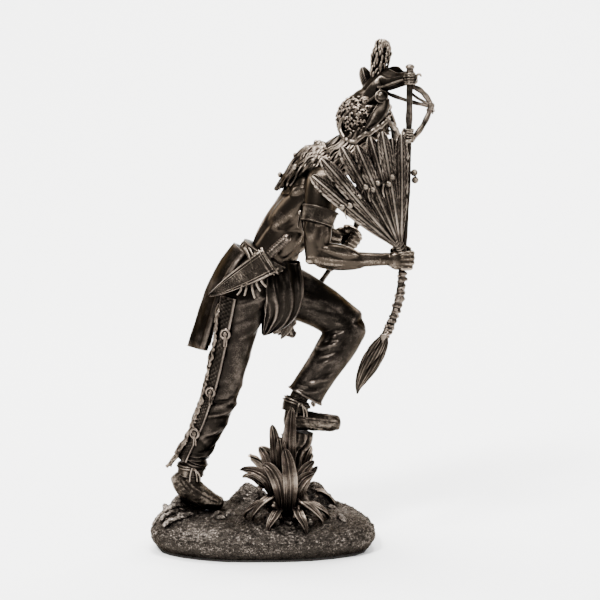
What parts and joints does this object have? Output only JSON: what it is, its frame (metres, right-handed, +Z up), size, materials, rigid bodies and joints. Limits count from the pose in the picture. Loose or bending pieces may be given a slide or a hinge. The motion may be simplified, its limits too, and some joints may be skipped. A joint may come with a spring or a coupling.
{
  "type": "bronze statuette",
  "caption": "Table-top bronze statuette of a hunter in fur hood and leggings, stepping onto a plant-covered stump with a feathered staff, on an oval rocky base.",
  "frame": {"origin": "middle of the felt pad's underside, on the surface that the statuette stands on", "axes": "+Z up, +X the way the figure faces and lunges, +Y towards the figure's left side"},
  "size_m": [0.1749, 0.0945, 0.3205],
  "materials": {
    "bronze_flesh": "dark brown patina over cast bronze, rubbed to a satin sheen on the muscles",
    "bronze_leather": "dark brown patina over cast bronze, tooled edges rubbed bright",
    "bronze_cloth": "dark brown patina over cast bronze, folds rubbed lighter on their ridges",
    "bronze_hair": "dark patina in deep strands, ridges rubbed lighter",
    "bronze_feather": "dark patina in the barbs, quills rubbed bright",
    "bronze_wood": "dark brown patina over cast bronze",
    "bronze_stone": "dark brown patina over cast bronze",
    "bronze_ground": "near-black patina with rubbed grit, rough cast",
    "bronze_leaf": "dark patina in the grooves, ribs rubbed bright",
    "steel_pin": "plain turned steel",
    "felt": "black felt"
  },
  "bodies": {
    "root": {"torso": "bronze_flesh", "head": "bronze_flesh", "right_arm": "bronze_flesh", "left_arm": "bronze_flesh", "right_hand": "bronze_flesh", "left_hand": "bronze_flesh", "right_moccasin": "bronze_leather", "left_moccasin": "bronze_leather", "belt": "bronze_leather", "knife_sheath": "bronze_leather", "right_armband": "bronze_leather", "left_armband": "bronze_leather", "visor_flap": "bronze_leather", "right_temple_disc": "bronze_leather", "left_temple_disc": "bronze_leather", "top_lashing": "bronze_leather", "middle_lashing": "bronze_leather", "pole_wrapping": "bronze_leather", "hips": "bronze_cloth", "right_legging": "bronze_cloth", "left_legging": "bronze_cloth", "right_legging_strip": "bronze_cloth", "left_legging_strip": "bronze_cloth", "breechcloth_back": "bronze_cloth", "breechcloth_front": "bronze_cloth", "fur_hood": "bronze_hair", "hair_mantle": "bronze_hair", "hair_tassel": "bronze_hair", "plume": "bronze_feather", "rear_feather": "bronze_feather", "fan_feather_1": "bronze_feather", "fan_feather_2": "bronze_feather", "fan_feather_3": "bronze_feather", "fan_feather_4": "bronze_feather", "fan_feather_5": "bronze_feather", "fan_feather_6": "bronze_feather", "fan_feather_7": "bronze_feather", "fan_feather_8": "bronze_feather", "pole": "bronze_wood", "hoop": "bronze_wood", "hoop_brace": "bronze_wood", "knife_handle": "bronze_wood", "tomahawk_handle": "bronze_wood", "tomahawk_head": "bronze_stone", "base_rock": "bronze_ground", "stump": "bronze_ground", "leaf_1": "bronze_leaf", "leaf_2": "bronze_leaf", "leaf_3": "bronze_leaf", "leaf_4": "bronze_leaf", "leaf_5": "bronze_leaf", "leaf_6": "bronze_leaf", "leaf_7": "bronze_leaf", "right_foot_pin": "steel_pin", "stump_pin": "steel_pin", "left_foot_pin": "steel_pin", "waist_pin": "steel_pin", "neck_pin": "steel_pin", "felt_pad": "felt"}
  },
  "joints": []
}
